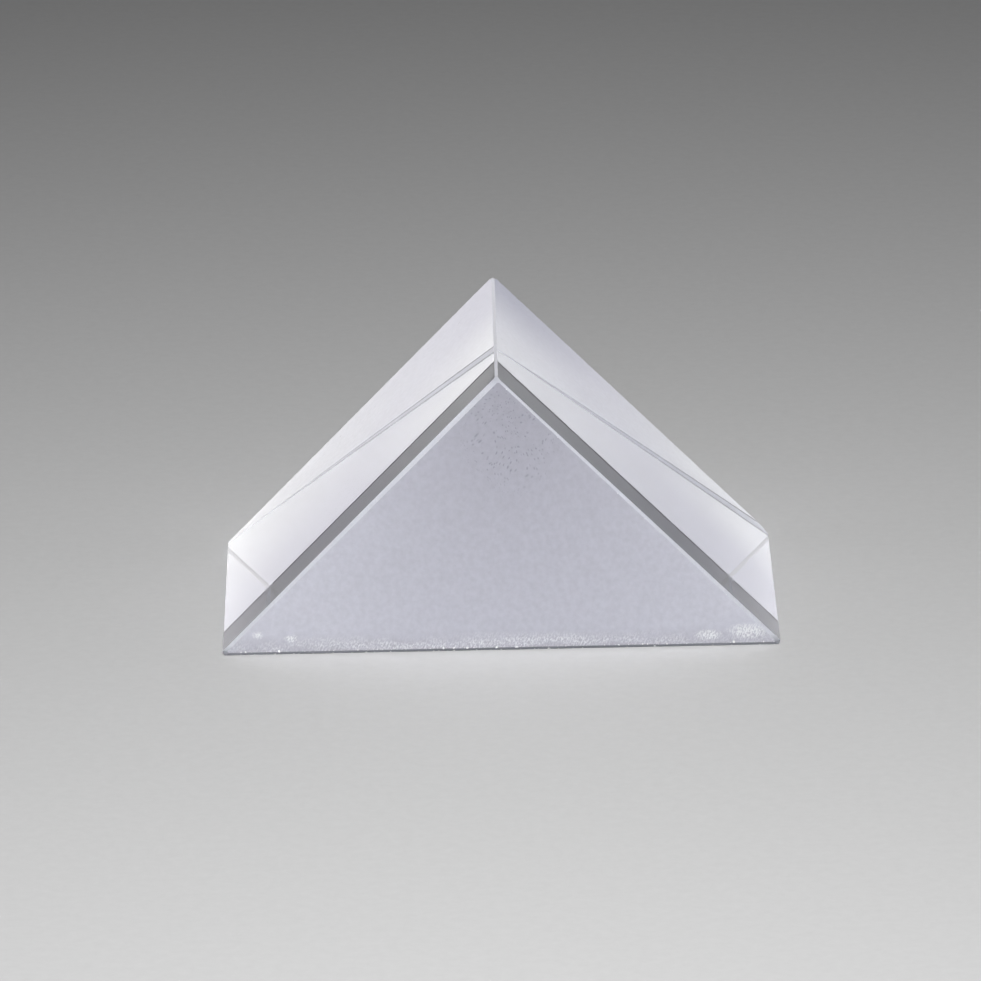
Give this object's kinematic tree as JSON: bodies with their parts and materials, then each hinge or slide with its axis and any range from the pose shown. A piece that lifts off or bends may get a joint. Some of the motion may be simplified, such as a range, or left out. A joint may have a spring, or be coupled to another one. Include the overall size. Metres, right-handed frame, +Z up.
{
  "type": "right-angle prism",
  "caption": "Right-angle prism of clear optical glass: a solid triangular block with polished legs and hypotenuse, ground ends and stoned bevels, which folds or returns a beam of light.",
  "frame": {"origin": "middle of the hypotenuse face, which is the face that the prism rests on", "axes": "+X to the right along the hypotenuse, +Y along the block from the pictured front end to the rear end, +Z up to the ridge"},
  "size_m": [0.0348, 0.025, 0.0176],
  "materials": {
    "optical_glass": "clear borosilicate crown glass, polished on the legs and the hypotenuse, ground on the ends, stoned on the bevels"
  },
  "bodies": {
    "root": {"prism_block": "optical_glass"}
  },
  "joints": []
}
